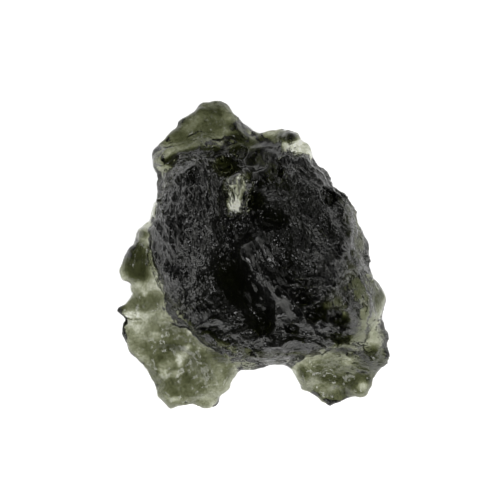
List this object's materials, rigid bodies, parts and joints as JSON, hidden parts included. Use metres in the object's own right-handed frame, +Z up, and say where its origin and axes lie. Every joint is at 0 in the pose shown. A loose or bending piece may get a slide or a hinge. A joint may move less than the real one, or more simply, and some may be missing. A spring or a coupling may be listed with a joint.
{
  "type": "moldavite",
  "caption": "Rough piece of natural green tektite glass with a domed, deeply pitted face and thin ragged lobes, lying on its back.",
  "frame": {"origin": "below the middle of the outline, on the surface that the stone rests on", "axes": "+Z up from the resting surface, +Y along the stone towards its single upper lobe, +X to the right as seen from above"},
  "size_m": [0.0246, 0.028, 0.0113],
  "materials": {
    "moldavite": "satin, etched natural skin"
  },
  "bodies": {
    "root": {"moldavite": "moldavite"}
  },
  "joints": []
}
